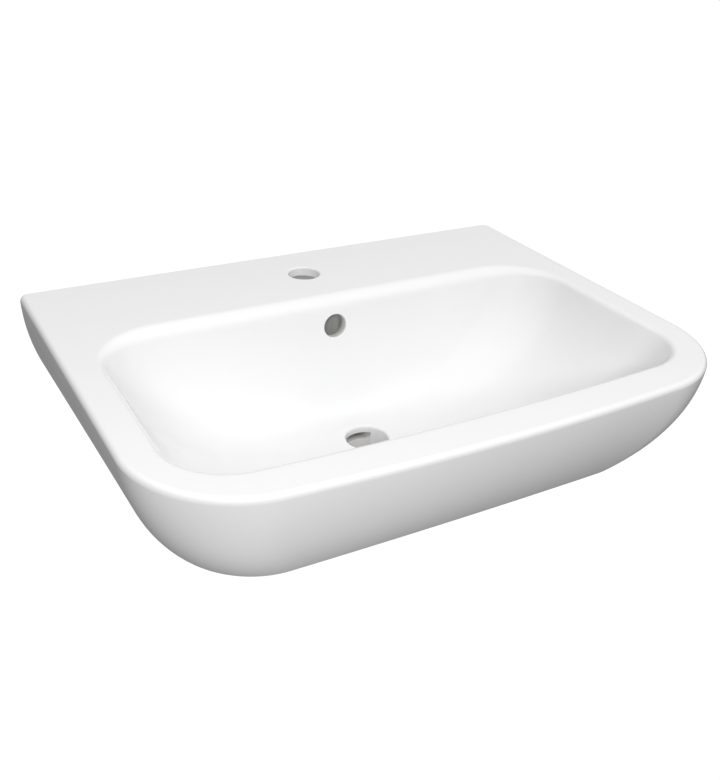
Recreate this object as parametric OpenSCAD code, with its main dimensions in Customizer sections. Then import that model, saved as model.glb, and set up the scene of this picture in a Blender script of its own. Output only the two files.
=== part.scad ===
// Wall-hung washbasin of vitreous china with its wall fixing set.
// The origin lies on the wall, midway between the two fixings. +Y goes into the wall, +Z is up.

/* [Rim] */
// Overall width
width = 600; // [540:5:660]
// Depth from the wall to the middle of the front, before the rim's edge is rounded
depth = 450; // [420:5:480]
// Radius of the front corners, seen from above
corner_r = 105; // [92:1:116]
// How far the middle of the front stands out past its ends
front_bow = 7.5; // [4:0.5:12]
// Width of the rim beside the bowl
rim_side_w = 29.5; // [26:0.5:38]
// Width of the rim in front of the bowl
rim_front_w = 37.5; // [33:0.5:48]
// Depth of the flat tap ledge behind the bowl
ledge_d = 123; // [114:1:130]
// Rounding of the outer edge of the rim
rim_edge_r = 6; // [4:0.5:9]
// Radius of the two back corners, seen from above
back_corner_r = 8; // [5:0.5:14]

/* [Skirt] */
// Height of the skirt, from the top of the rim to its lower edge
skirt_h = 126; // [116:1:134]
// How far each side draws in on its way down
side_tuck = 38; // [24:1:44]
// How far the sides draw in besides at their front ends
front_taper = 18; // [8:1:26]
// How far the front leans in at a steady rate
front_lean = 12; // [8:1:20]
// How far the front curves in besides
front_tuck = 50; // [36:1:56]
// How much tighter the front corners get on their way down
corner_tighten = 21; // [8:1:28]
// Rounding of the lower edge
lip_r = 4.5; // [2:0.5:5]

/* [Bowl] */
// Depth of the bowl, from the top of the rim to the waste
bowl_depth = 129; // [119:1:139]
// Radius of the bowl's front corners, seen from above
bowl_front_r = 67; // [56:1:80]
// Radius of the bowl's back corners, seen from above
bowl_back_r = 76; // [64:1:84]
// Bow of the bowl's front edge
bowl_bow = 6.5; // [3:0.5:9]
// Rounding where the rim turns down into the bowl
bowl_edge_r = 8; // [5:0.5:10]
// Rounding where the tap ledge turns down into the bowl
ledge_edge_r = 16; // [8:1:18]
// Share of each wall's way to the waste that it leans, the rest is curve
bowl_lean = 0.22; // [0.12:0.01:0.3]

/* [Ceramic] */
// Thickness of the bowl and of the skirt
wall = 11; // [9:0.5:13]
// Thickness of the back wall
back_wall = 12; // [10:0.5:15]
// Thickness of the tap ledge
ledge_t = 10; // [9:0.5:14]
// Thickness of the rim beside and in front of the bowl
rim_t = 24; // [20:1:30]

/* [Tap hole] */
// Diameter of the tap hole
tap_hole_d = 35; // [32:0.5:38]
// Distance of the tap hole from the wall
tap_hole_y = 62; // [56:1:70]
// Rounding of the tap hole's upper edge
tap_lip_r = 2; // [1:0.25:3]

/* [Waste] */
// Diameter of the waste hole
waste_d = 46; // [42:0.5:48]
// Distance of the waste hole from the wall
waste_y = 220; // [210:1:236]
// Diameter of the level floor round the waste hole
waste_seat_d = 66; // [60:1:72]
// Rounding of the waste hole's upper edge
waste_lip_r = 3; // [1:0.5:4]
// Height of the waste boss, from the level floor down to its lower end
waste_h = 46; // [42:1:60]
// Diameter of the waste boss
boss_d = 80; // [74:1:90]

/* [Overflow] */
// Diameter of the overflow hole
overflow_d = 26; // [20:0.5:28]
// Distance of the overflow hole below the top of the rim
overflow_drop = 32; // [31:1:38]
// Rounding of the overflow hole's edge
overflow_lip_r = 1.5; // [1:0.25:2.5]
// Width of the duct that joins the overflow hole to the waste hole
duct_w = 30; // [29:0.5:33]
// Depth of the duct, front to back
duct_d = 14; // [10:0.5:17]
// Thickness of the duct's own walls
duct_wall = 7; // [5:0.5:8]
// Depth at which the duct enters the waste hole, below the bowl's floor
duct_exit_drop = 8; // [7:0.5:12]
// Height of the duct where it enters the waste hole
duct_exit_h = 8; // [6:0.5:12]

/* [Wall fixing] */
// Distance between the two fixings
fixing_spacing = 280; // [200:5:320]
// Distance of the fixings below the top of the rim
fixing_drop = 72; // [60:1:78]
// Diameter of the fixing holes in the back wall
fixing_hole_d = 20; // [18:0.5:24]
// Diameter of the hanger bolt
bolt_d = 10; // [8:0.5:12]
// Length of the bolt that stands out of the wall
bolt_out = 55; // [42:1:60]
// Length of the bolt in the wall
bolt_in = 65; // [50:1:66]
// Length of the bolt's pointed end
bolt_tip = 9; // [5:1:12]
// Diameter of the wall plug
plug_d = 14; // [14:0.5:16]
// Length of the wall plug
plug_l = 70; // [68:1:80]
// Width that the plug's mouth spreads over the plug, on each side
plug_spread = 1; // [0.5:0.1:1.5]
// Diameter of the bush's flange
flange_d = 32; // [28:1:36]
// Thickness of the bush's flange
flange_t = 4; // [3:0.5:6]
// Diameter of the washer
washer_d = 28; // [22:1:30]
// Thickness of the washer
washer_t = 2.5; // [1.5:0.5:3]
// Width of the nut across its flats
nut_af = 17; // [15:0.5:19]
// Height of the nut
nut_h = 8; // [6:0.5:10]
// Gap all round between the bolt and what it passes through
bolt_gap = 0.1; // [0.05:0.05:0.3]
// Gap all round between the bush and its hole in the back wall
bush_gap = 0.3; // [0.1:0.1:0.6]

/* [Hidden] */
china = [0.96, 0.96, 0.95];
zinc = [0.72, 0.73, 0.74];
nylon = [0.90, 0.90, 0.87];
plug_grey = [0.62, 0.63, 0.64];

// Heights in the part's frame
rim_z = fixing_drop;
floor_z = rim_z - bowl_depth;
boss_z = floor_z - waste_h;

// Steps along one half of an outline: back edge, back corner, side, front corner, front edge
back_steps = 6;
back_corner_steps = 5;
side_steps = 6;
corner_steps = 10;
front_steps = 7;
half_steps = back_steps + back_corner_steps + side_steps + corner_steps + front_steps;
ring_n = 2 * half_steps;

// Steps along the cross-section
edge_steps = 4;
skirt_steps = 6;
bowl_steps = 9;
under_steps = 8;

// Exponents of the curves that the sides and the bowl follow
side_power = 2.15;
bowl_power = 2.4;
// The bowl's level lines change from half ellipses to the mouth's shape at this power of the way out
rounding_power = 2.2;
// Bow of the front at the lower edge of the skirt
low_bow = 1.5;
// The wall side of an edge is rounded less than the rest
back_edge_share = 0.4;
// Share of the back corners' radius that is lost where the outline draws in
back_corner_loss = 0.6;
// Length over which the ledge's underside drops to the rim's underside
under_blend = 80;
// How far cuts run past the faces that they open, and joined solids into each other
over = 2;
// Facets of the small round parts
round_fn = 48;

waste_at = [0, -waste_y];
seat_r = waste_seat_d / 2;
bush_bore_r = bolt_d / 2 + bolt_gap;
duct_sink = duct_exit_drop - wall;
duct_far_sink = duct_exit_drop + duct_exit_h - wall - duct_d;
flange_y = back_wall + flange_t;
washer_y = flange_y + washer_t;
nut_y = washer_y + nut_h;

function mix(a, b, t) = a + (b - a) * t;
function clamp01(t) = min(1, max(0, t));
function ease(t) = let (c = clamp01(t)) c * c * (3 - 2 * c);
function unit(v) = v / norm(v);

// The front edge is one flat arc, which meets both corner arcs without a kink
function half_outline(half_w, back_y, front_y, r, bow, back_r) =
    let (
        reach = half_w - r,
        front_r = (reach * reach + bow * bow) / (2 * bow),
        front_cy = front_y + front_r,
        corner_cy = front_cy - sqrt(pow(front_r - r, 2) - reach * reach),
        meet = atan2(corner_cy - front_cy, reach),
        side_top = back_y - back_r
    )
    concat(
        [for (i = [0:back_steps - 1]) [(half_w - back_r) * i / back_steps, back_y]],
        [for (i = [0:back_corner_steps])
            let (a = 90 - 90 * i / back_corner_steps)
            [half_w - back_r + back_r * cos(a), side_top + back_r * sin(a)]],
        [for (i = [1:side_steps - 1]) [half_w, mix(side_top, corner_cy, i / side_steps)]],
        [for (i = [0:corner_steps])
            let (a = meet * i / corner_steps)
            [reach + r * cos(a), corner_cy + r * sin(a)]],
        [for (i = [1:front_steps])
            let (a = mix(meet, -90, i / front_steps))
            [front_r * cos(a), front_cy + front_r * sin(a)]]
    );

// A closed outline runs from the middle of the back, round by the right, and home by the left
function outline(half_w, back_y, front_y, r, bow, back_r) =
    let (half = half_outline(half_w, back_y, front_y, r, bow, back_r))
    concat(half, [for (i = [half_steps - 1:-1:1]) [-half[i][0], half[i][1]]]);

// The skirt's outline at a height below the rim, drawn in by side_in all round and by back_in at the wall
function skirt_outline(drop, side_in, back_in) =
    let (
        t = drop / skirt_h,
        points = outline(
            width / 2 - side_tuck * pow(t, side_power) - side_in,
            -back_in,
            -depth + front_lean * t + front_tuck * t * t + side_in,
            corner_r - corner_tighten * t - side_in,
            mix(front_bow, low_bow, t),
            back_corner_r * (1 - back_corner_loss * clamp01(side_in / rim_edge_r))
        )
    )
    [for (p = points) [p[0] * (1 + front_taper * t * p[1] / depth / (width / 2)), p[1]]];

// The bowl's mouth, drawn in by d all round
function mouth_outline(d) =
    outline(
        width / 2 - rim_side_w - d,
        -ledge_d - d,
        -depth + rim_front_w + d,
        bowl_front_r - d,
        bowl_bow,
        bowl_back_r - d
    );

mouth = mouth_outline(0);
mouth_deep = mouth_outline(ledge_edge_r);

// The edge of the bowl is round and wide along the ledge and tighter along the sides and front
bowl_edge = [for (p = mouth)
    mix(bowl_edge_r, ledge_edge_r, ease(1 + (p[1] + ledge_d) / bowl_back_r))];
function mouth_point(i, d) = mix(mouth[i], mouth_deep[i], d / ledge_edge_r);
wall_top = [for (i = [0:ring_n - 1]) mouth_point(i, bowl_edge[i])];

// How far half ellipses through the middle of each side reach from the waste, in the direction v
side_reach = wall_top[back_steps + back_corner_steps + side_steps][0];
back_reach = norm(wall_top[0] - waste_at);
front_reach = norm(wall_top[half_steps] - waste_at);
function ellipse_reach(v) =
    1 / norm([v[0] / side_reach, v[1] / (v[1] > 0 ? back_reach : front_reach)]);

// A point of the bowl's inside: angle 0 is at the top of the wall, 90 at the level floor round the waste
function bowl_point(i, angle) =
    let (
        k = (i + ring_n) % ring_n,
        away = wall_top[k] - waste_at,
        a = min(90, max(0, angle)),
        down = pow(sin(a), 2 / bowl_power),
        across = mix(pow(cos(a), 2 / bowl_power), 1 - down, bowl_lean),
        reach = mix(ellipse_reach(unit(away)), norm(away), pow(across, rounding_power)),
        flat = waste_at + unit(away) * mix(seat_r, reach, across)
    )
    [flat[0], flat[1], rim_z - bowl_edge[k] - (bowl_depth - bowl_edge[k]) * down];

// The way out of the bowl's inside into the ceramic
function bowl_out(i, angle) =
    let (
        a = min(89, max(1, angle)),
        up = bowl_point(i, a - 1) - bowl_point(i, a + 1),
        along = bowl_point(i + 1, a) - bowl_point(i - 1, a)
    )
    angle >= 90 ? [0, 0, -1] : unit(cross(up, along));
function bowl_offset(i, angle, d) = bowl_point(i, angle) + bowl_out(i, angle) * d;

// The underside of the ledge and rim, which is level under the ledge and lower under the rim
function ceiling_drop(y) = mix(ledge_t, rim_t, ease((-ledge_d - y) / under_blend));
function ceiling_angle(i) =
    let (
        drop = ceiling_drop(wall_top[i][1]),
        down = clamp01((drop - bowl_edge[i]) / (bowl_depth - bowl_edge[i]))
    )
    asin(pow(down, bowl_power / 2));

function level(points, z) = [for (p = points) [p[0], p[1], z]];

// The cross-section's rings in order: bowl, rim, skirt outside, lower edge, skirt inside, ceiling, bowl outside
bowl_rings = [for (s = [bowl_steps:-1:0])
    [for (i = [0:ring_n - 1]) bowl_point(i, 90 * s / bowl_steps)]];
bowl_edge_rings = [for (s = [edge_steps - 1:-1:0])
    [for (i = [0:ring_n - 1])
        let (
            a = 90 * s / edge_steps,
            p = mouth_point(i, bowl_edge[i] * sin(a))
        )
        [p[0], p[1], rim_z - bowl_edge[i] * (1 - cos(a))]]];
rim_edge_rings = [for (s = [0:edge_steps])
    let (
        a = 90 * s / edge_steps,
        inset = rim_edge_r * (1 - sin(a)),
        drop = rim_edge_r * (1 - cos(a))
    )
    level(skirt_outline(drop, inset, inset * back_edge_share), rim_z - drop)];
skirt_rings = [for (s = [1:skirt_steps])
    let (drop = mix(rim_edge_r, skirt_h - lip_r, s / skirt_steps))
    level(skirt_outline(drop, 0, 0), rim_z - drop)];
lip_out_rings = [for (s = [1:edge_steps])
    let (
        a = 90 * s / edge_steps,
        inset = lip_r * (1 - cos(a)),
        drop = skirt_h - lip_r * (1 - sin(a))
    )
    level(skirt_outline(drop, inset, inset), rim_z - drop)];
lip_in_rings = [for (s = [edge_steps:-1:0])
    let (
        a = 90 * s / edge_steps,
        inset = lip_r * (1 - cos(a)),
        drop = skirt_h - lip_r * (1 - sin(a))
    )
    level(skirt_outline(drop, wall - inset, back_wall - inset), rim_z - drop)];
inside_rings = [for (s = [1:skirt_steps])
    [for (i = [0:ring_n - 1])
        let (
            top = ceiling_drop(mouth[i][1]),
            drop = mix(skirt_h - lip_r, top, s / skirt_steps),
            p = skirt_outline(drop, wall, back_wall)[i]
        )
        [p[0], p[1], rim_z - drop]]];
ceiling_ring = [for (i = [0:ring_n - 1])
    let (p = bowl_offset(i, ceiling_angle(i), wall))
    [p[0], p[1], rim_z - ceiling_drop(mouth[i][1])]];
under_rings = [for (s = [1:under_steps])
    [for (i = [0:ring_n - 1])
        bowl_offset(i, mix(ceiling_angle(i), 90, s / under_steps), wall)]];
rings = concat(bowl_rings, bowl_edge_rings, rim_edge_rings, skirt_rings, lip_out_rings,
               lip_in_rings, inside_rings, [ceiling_ring], under_rings);

// A solid skinned over a list of rings, closed by a flat face on the first and on the last
module skin(rings) {
    n = len(rings[0]);
    last = len(rings) - 1;
    polyhedron(
        points = [for (ring = rings) each ring],
        faces = concat(
            [[for (i = [0:n - 1]) i]],
            [for (k = [0:last - 1], i = [0:n - 1])
                let (a = k * n + i, b = k * n + (i + 1) % n)
                each [[a, a + n, b + n], [a, b + n, b]]],
            [[for (i = [n - 1:-1:0]) last * n + i]]
        ),
        convexity = 10
    );
}

// A round cut along +Z from depth z_low up to z_top, with its upper edge rounded outwards
module rounded_bore(r, z_low, z_top, lip) {
    rotate_extrude($fn = round_fn)
        polygon(concat(
            [[0, z_low], [r, z_low]],
            [for (s = [0:edge_steps])
                let (a = 90 * s / edge_steps)
                [r + lip * (1 - cos(a)), z_top - lip + lip * sin(a)]],
            [[r + lip, z_top + over], [0, z_top + over]]
        ));
}

// Seen from the side, a line behind the bowl's middle, at distance d from the inside and sinking by drop on its way
function duct_line(d, drop) = concat(
    [for (s = [0:bowl_steps])
        let (p = bowl_offset(0, 90 * s / bowl_steps, d + drop * pow(s / bowl_steps, 2)))
        [p[1], p[2]]],
    [[-waste_y, floor_z - d - drop]]
);
function turned(points) = [for (i = [len(points) - 1:-1:0]) points[i]];

// The strip between two such lines, closed at the height top and w wide
module duct_strip(near, far, top, w) {
    rotate([90, 0, 90])
        linear_extrude(height = w, center = true)
        polygon(concat([[near[0][0], top], [far[0][0], top]], far, turned(near)));
}

module basin() {
    color(china)
        difference() {
            union() {
                skin(rings);
                translate([0, -waste_y, boss_z])
                    cylinder(d = boss_d, h = floor_z - over - boss_z, $fn = round_fn);
                duct_strip(duct_line(wall / 2, 0), duct_line(wall + duct_d + duct_wall, duct_far_sink),
                           rim_z - ledge_t + over, duct_w + 2 * duct_wall);
            }
            duct_strip(duct_line(wall, duct_sink), duct_line(wall + duct_d, duct_far_sink),
                       rim_z - ledge_t, duct_w);
            translate([0, -waste_y, 0])
                rounded_bore(waste_d / 2, boss_z - over, floor_z, waste_lip_r);
            translate([0, -tap_hole_y, 0])
                rounded_bore(tap_hole_d / 2, rim_z - ledge_t - over, rim_z, tap_lip_r);
            overflow_cut();
            for (side = [-1, 1])
                translate([side * fixing_spacing / 2, -back_wall - over, 0])
                    rotate([-90, 0, 0])
                    cylinder(d = fixing_hole_d, h = back_wall + 2 * over, $fn = round_fn);
        }
}

// The overflow hole runs square through the bowl's back wall into the duct
module overflow_cut() {
    down = (overflow_drop - ledge_edge_r) / (bowl_depth - ledge_edge_r);
    angle = asin(pow(down, bowl_power / 2));
    out = bowl_out(0, angle);
    translate(bowl_point(0, angle))
        rotate([90 - atan2(-out[2], out[1]), 0, 0])
        rounded_bore(overflow_d / 2, -wall - duct_d / 2, 0, overflow_lip_r);
}

// The fixing's pieces lie along +Y, and y counts from the wall's face
module along_y(y) {
    translate([0, y, 0])
        rotate([-90, 0, 0])
        children();
}

module hanger_bolt() {
    chamfer = bolt_d / 10;
    color(zinc) {
        along_y(-bolt_out)
            cylinder(r1 = bolt_d / 2 - chamfer, r2 = bolt_d / 2, h = chamfer, $fn = round_fn);
        along_y(-bolt_out + chamfer)
            cylinder(d = bolt_d, h = bolt_out - chamfer + bolt_in - bolt_tip, $fn = round_fn);
        along_y(bolt_in - bolt_tip)
            cylinder(r1 = bolt_d / 2, r2 = chamfer, h = bolt_tip, $fn = round_fn);
    }
}

module wall_plug() {
    color(plug_grey)
        difference() {
            union() {
                along_y(0)
                    cylinder(r1 = plug_d / 2 + plug_spread, r2 = plug_d / 2, h = plug_spread * 2,
                             $fn = round_fn);
                along_y(plug_spread * 2)
                    cylinder(d = plug_d, h = plug_l - plug_spread * 2, $fn = round_fn);
            }
            along_y(-over)
                cylinder(r = bush_bore_r, h = bolt_in + over + bolt_gap, $fn = round_fn);
        }
}

module fixing_bush() {
    color(nylon)
        difference() {
            union() {
                along_y(-flange_y)
                    cylinder(d = flange_d, h = flange_t, $fn = round_fn);
                along_y(-flange_y)
                    cylinder(r = fixing_hole_d / 2 - bush_gap, h = flange_y - bush_gap,
                             $fn = round_fn);
            }
            along_y(-flange_y - over)
                cylinder(r = bush_bore_r, h = flange_y + 2 * over, $fn = round_fn);
        }
}

module washer() {
    color(zinc)
        difference() {
            along_y(-washer_y)
                cylinder(d = washer_d, h = washer_t, $fn = round_fn);
            along_y(-washer_y - over)
                cylinder(r = bush_bore_r, h = washer_t + 2 * over, $fn = round_fn);
        }
}

// The nut's corners are turned off at both ends
module nut() {
    corner = nut_af / 2 / cos(30);
    turned_off = corner - nut_af / 2;
    color(zinc)
        difference() {
            along_y(-nut_y)
                cylinder(r = corner, h = nut_h, $fn = 6);
            for (end = [0, 1])
                along_y(-nut_y + end * nut_h)
                    rotate([end * 180, 0, 0])
                    nut_end_cut(corner, turned_off);
            along_y(-nut_y - over)
                cylinder(r = bush_bore_r, h = nut_h + 2 * over, $fn = round_fn);
        }
}

module nut_end_cut(corner, turned_off) {
    rise = turned_off * tan(30);
    rotate_extrude($fn = round_fn)
        polygon([[corner - turned_off, -over], [corner - turned_off, 0], [corner, rise],
                 [corner + over, rise], [corner + over, -over]]);
}

module left() {
    translate([-fixing_spacing / 2, 0, 0]) children();
}

module right() {
    translate([fixing_spacing / 2, 0, 0]) children();
}

module left_hanger_bolt() left() hanger_bolt();
module left_wall_plug() left() wall_plug();
module left_fixing_bush() left() fixing_bush();
module left_washer() left() washer();
module left_nut() left() nut();
module right_hanger_bolt() right() hanger_bolt();
module right_wall_plug() right() wall_plug();
module right_fixing_bush() right() fixing_bush();
module right_washer() right() washer();
module right_nut() right() nut();

basin();
left_hanger_bolt();
left_wall_plug();
left_fixing_bush();
left_washer();
left_nut();
right_hanger_bolt();
right_wall_plug();
right_fixing_bush();
right_washer();
right_nut();
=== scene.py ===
# %% [markdown]
# A wall-hung washbasin in glazed white china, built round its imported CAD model. The CAD model gives every
# size and place, and the real form of each piece. Blender adds what the eye needs: a finer skin for the china
# with soft edges, the glaze itself, cut threads on the bolts and barbs on the plugs. Each step below first
# says what the piece is on a real basin, how it could be made, and why this way was chosen.

import math

import bmesh
import bpy
import numpy as np
from mathutils import Matrix, Vector
from mathutils.bvhtree import BVHTree
from mathutils.kdtree import KDTree


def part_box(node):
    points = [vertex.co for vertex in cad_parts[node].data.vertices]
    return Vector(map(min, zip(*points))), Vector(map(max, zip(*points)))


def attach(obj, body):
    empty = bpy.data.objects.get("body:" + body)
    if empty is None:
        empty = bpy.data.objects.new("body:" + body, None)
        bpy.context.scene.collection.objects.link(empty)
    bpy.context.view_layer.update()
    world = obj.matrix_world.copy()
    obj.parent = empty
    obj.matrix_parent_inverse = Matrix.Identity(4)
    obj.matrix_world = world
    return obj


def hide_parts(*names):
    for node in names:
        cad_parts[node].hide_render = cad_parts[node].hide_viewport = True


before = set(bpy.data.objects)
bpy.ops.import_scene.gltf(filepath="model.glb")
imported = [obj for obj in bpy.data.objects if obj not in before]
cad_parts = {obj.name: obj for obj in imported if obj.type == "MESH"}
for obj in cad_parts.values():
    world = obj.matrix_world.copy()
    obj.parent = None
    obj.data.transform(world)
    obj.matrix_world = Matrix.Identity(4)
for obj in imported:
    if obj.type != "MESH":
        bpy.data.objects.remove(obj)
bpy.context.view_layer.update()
MM = 0.001
print("nodes:", sorted(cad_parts))

# %% [markdown]
# The photograph was taken from the left of the basin's front and from above. A camera is made first, because
# every later choice is judged through it. Its place and its three turns were found by fitting the basin's
# known outline to the picture, so they are written as real sizes and angles. The camera looks along its own
# -Z, so its matrix is made of the right, up and backward directions. Blender measures the lens against the
# longer side.

# %% Camera
IMAGE_H = 780
FOCAL_PIXELS = 944.79
SENSOR = 36.0
CLIP_NEAR, CLIP_FAR = 0.01, 100.0
CAMERA_AT = Vector((-0.44938, -0.95511, 0.47701))
CAMERA_YAW = math.radians(30.75)
CAMERA_PITCH = math.radians(28.97)
CAMERA_ROLL = math.radians(3.04)


def make_camera():
    level = math.cos(CAMERA_PITCH)
    ahead = Vector((math.sin(CAMERA_YAW) * level, math.cos(CAMERA_YAW) * level, -math.sin(CAMERA_PITCH)))
    flat_right = Vector((math.cos(CAMERA_YAW), -math.sin(CAMERA_YAW), 0.0))
    flat_up = flat_right.cross(ahead)
    right = flat_right * math.cos(CAMERA_ROLL) + flat_up * math.sin(CAMERA_ROLL)
    up = flat_up * math.cos(CAMERA_ROLL) - flat_right * math.sin(CAMERA_ROLL)
    lens = bpy.data.cameras.new("camera")
    lens.sensor_width = SENSOR
    lens.lens = FOCAL_PIXELS * SENSOR / IMAGE_H
    lens.clip_start = CLIP_NEAR
    lens.clip_end = CLIP_FAR
    camera = bpy.data.objects.new("camera", lens)
    bpy.context.scene.collection.objects.link(camera)
    turn = Matrix((right, up, -ahead)).transposed().to_4x4()
    turn.translation = CAMERA_AT
    camera.matrix_world = turn
    return camera


bpy.context.scene.camera = make_camera()
print("lens in mm:", round(bpy.context.scene.camera.data.lens, 2))

# %% [markdown]
# The china follows a few driving sizes. Those of the whole come from the frame, and the rest repeat the CAD
# source in metres. A basin is one casting, so one skin covers it: bowl, rim, skirt, lower edge, the inside of
# the skirt, the underside of the rim and the underside of the bowl.

# %% Sizes of the china
china_low, china_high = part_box("basin")
RIM_Z = china_high.z
WIDTH = 600 * MM
DEPTH = 450 * MM
CORNER_R = 105 * MM
FRONT_BOW = 7.5 * MM
RIM_SIDE_W = 29.5 * MM
RIM_FRONT_W = 37.5 * MM
LEDGE_D = 123 * MM
RIM_EDGE_R = 6 * MM
BACK_CORNER_R = 8 * MM
SKIRT_H = 126 * MM
SIDE_TUCK = 38 * MM
FRONT_TAPER = 18 * MM
FRONT_LEAN = 12 * MM
FRONT_TUCK = 50 * MM
CORNER_TIGHTEN = 21 * MM
LIP_R = 4.5 * MM
LOW_BOW = 1.5 * MM
BOWL_DEPTH = 129 * MM
BOWL_FRONT_R = 67 * MM
BOWL_BACK_R = 76 * MM
BOWL_BOW = 6.5 * MM
BOWL_EDGE_R = 8 * MM
LEDGE_EDGE_R = 16 * MM
BOWL_LEAN = 0.22
SIDE_POWER = 2.15
BOWL_POWER = 2.4
ROUNDING_POWER = 2.2
BACK_EDGE_SHARE = 0.4
BACK_CORNER_LOSS = 0.6
WALL = 11 * MM
BACK_WALL = 12 * MM
LEDGE_T = 10 * MM
RIM_T = 24 * MM
UNDER_BLEND = 80 * MM
WASTE_AT = np.array([0.0, -220 * MM])
SEAT_R = 33 * MM
FLOOR_Z = RIM_Z - BOWL_DEPTH
BOSS_Z = china_low.z
heights = {"rim": RIM_Z, "floor": FLOOR_Z, "boss": BOSS_Z}
print("heights in mm:", {label: round(z / MM, 1) for label, z in heights.items()})

# %% [markdown]
# Seen from above, every level of the basin is the same kind of outline: a straight back, rounded back
# corners, straight sides, wide front corners, and a front that is one flat arc. It could be drawn as a Bezier
# curve, but a formula keeps all levels in step, point for point, so that a skin can be drawn over them. The
# steps are far finer than the CAD's, because glossy china shows every facet as a kink in a reflection.

# %% Outlines
BACK_STEPS, BACK_CORNER_STEPS, SIDE_STEPS, CORNER_STEPS, FRONT_STEPS = 26, 10, 26, 34, 28
HALF_STEPS = BACK_STEPS + BACK_CORNER_STEPS + SIDE_STEPS + CORNER_STEPS + FRONT_STEPS
RING_N = 2 * HALF_STEPS
QUARTER = math.pi / 2


def mix(a, b, t):
    return a + (b - a) * t


def ease(t):
    t = np.clip(t, 0.0, 1.0)
    return t * t * (3 - 2 * t)


def arc(cx, cy, r, angles):
    return np.stack([cx + r * np.cos(angles), cy + r * np.sin(angles)], axis=-1)


def outline(half_w, back_y, front_y, r, bow, back_r):
    reach = half_w - r
    front_r = (reach * reach + bow * bow) / (2 * bow)
    front_cy = front_y + front_r
    corner_cy = front_cy - math.sqrt((front_r - r) ** 2 - reach * reach)
    meet = math.atan2(corner_cy - front_cy, reach)
    side_top = back_y - back_r
    back_x = np.linspace(0, half_w - back_r, BACK_STEPS, endpoint=False)
    back = np.stack([back_x, np.full(BACK_STEPS, back_y)], -1)
    back_corner = arc(half_w - back_r, side_top, back_r, np.linspace(QUARTER, 0, BACK_CORNER_STEPS + 1))
    side_y = np.linspace(side_top, corner_cy, SIDE_STEPS + 1)[1:-1]
    side = np.stack([np.full(len(side_y), half_w), side_y], -1)
    corner = arc(reach, corner_cy, r, np.linspace(0, meet, CORNER_STEPS + 1))
    front = arc(0, front_cy, front_r, np.linspace(meet, -QUARTER, FRONT_STEPS + 1)[1:])
    half = np.concatenate([back, back_corner, side, corner, front])
    mirrored = half[HALF_STEPS - 1:0:-1] * np.array([-1.0, 1.0])
    return np.concatenate([half, mirrored])


def skirt_outline(drop, side_in, back_in):
    t = drop / SKIRT_H
    points = outline(
        WIDTH / 2 - SIDE_TUCK * t ** SIDE_POWER - side_in,
        -back_in,
        -DEPTH + FRONT_LEAN * t + FRONT_TUCK * t * t + side_in,
        CORNER_R - CORNER_TIGHTEN * t - side_in,
        mix(FRONT_BOW, LOW_BOW, t),
        BACK_CORNER_R * (1 - BACK_CORNER_LOSS * min(1.0, max(0.0, side_in / RIM_EDGE_R))),
    )
    points[:, 0] *= 1 + FRONT_TAPER * t * points[:, 1] / DEPTH / (WIDTH / 2)
    return points


def mouth_outline(inset):
    return outline(
        WIDTH / 2 - RIM_SIDE_W - inset,
        -LEDGE_D - inset,
        -DEPTH + RIM_FRONT_W + inset,
        BOWL_FRONT_R - inset,
        BOWL_BOW,
        BOWL_BACK_R - inset,
    )


print("points round each level:", RING_N)

# %% [markdown]
# The bowl is the form that the hand and the water meet. Each wall leaves the rounded rim at a slight lean,
# curves over and runs out level at the waste. A sculpted or simulated bowl would look right too, but the
# CAD's rule is known, so it is used again: two powers give the curve, and a share of lean keeps the upper
# wall straight. Where the wall leans, the rounding of the rim has to stop short of upright, or a small ridge
# would catch the light.

# %% The bowl's inside
mouth = mouth_outline(0.0)
mouth_inward = (mouth_outline(LEDGE_EDGE_R) - mouth) / LEDGE_EDGE_R
bowl_edge = mix(BOWL_EDGE_R, LEDGE_EDGE_R, ease(1 + (mouth[:, 1] + LEDGE_D) / BOWL_BACK_R))
wall_top = mouth + mouth_inward * bowl_edge[:, None]
away = wall_top - WASTE_AT
away_length = np.linalg.norm(away, axis=1)
away_unit = away / away_length[:, None]
side_reach = wall_top[BACK_STEPS + BACK_CORNER_STEPS + SIDE_STEPS][0]
along_y = np.where(away_unit[:, 1] > 0, away_length[0], away_length[HALF_STEPS])
ellipse_reach = 1 / np.hypot(away_unit[:, 0] / side_reach, away_unit[:, 1] / along_y)


def bowl_ring(angle):
    """A level line of the bowl: angle 0 is at the top of the wall, and a quarter turn at the level floor."""
    down = math.sin(angle) ** (2 / BOWL_POWER)
    across = mix(max(0.0, math.cos(angle)) ** (2 / BOWL_POWER), 1 - down, BOWL_LEAN)
    reach = mix(ellipse_reach, away_length, across ** ROUNDING_POWER)
    flat = WASTE_AT + away_unit * mix(SEAT_R, reach, across)[:, None]
    return np.column_stack([flat, RIM_Z - bowl_edge - (BOWL_DEPTH - bowl_edge) * down])


SMALL_TURN = math.radians(0.2)
first_step = bowl_ring(SMALL_TURN) - bowl_ring(0.0)
lean = np.arctan2((first_step[:, :2] * mouth_inward).sum(axis=1), -first_step[:, 2])


def bowl_edge_ring(share):
    """The rounding of the rim into the bowl: share 0 is on the flat rim, and 1 where the wall takes over."""
    turn = (QUARTER - lean) * share
    inset = bowl_edge * (np.sin(turn) + 1 - 1 / np.cos(lean))
    drop = bowl_edge * (1 - np.cos(turn))
    return np.column_stack([mouth + mouth_inward * inset[:, None], RIM_Z - drop])


print("the bowl's walls lean by, in degrees:", [round(math.degrees(a), 1) for a in (lean.min(), lean.max())])

# %% [markdown]
# Under the bowl and rim, the casting is as thick as its wall. The underside is the bowl's own form, pushed
# out square to its surface, which a Solidify modifier could do as well. It is worked out here, because the
# rim, the ledge and the skirt have other thicknesses, and all of them belong to one closed skin. Slip casting
# leaves no sharp inner corners, so each of them gets a soft curve.

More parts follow.
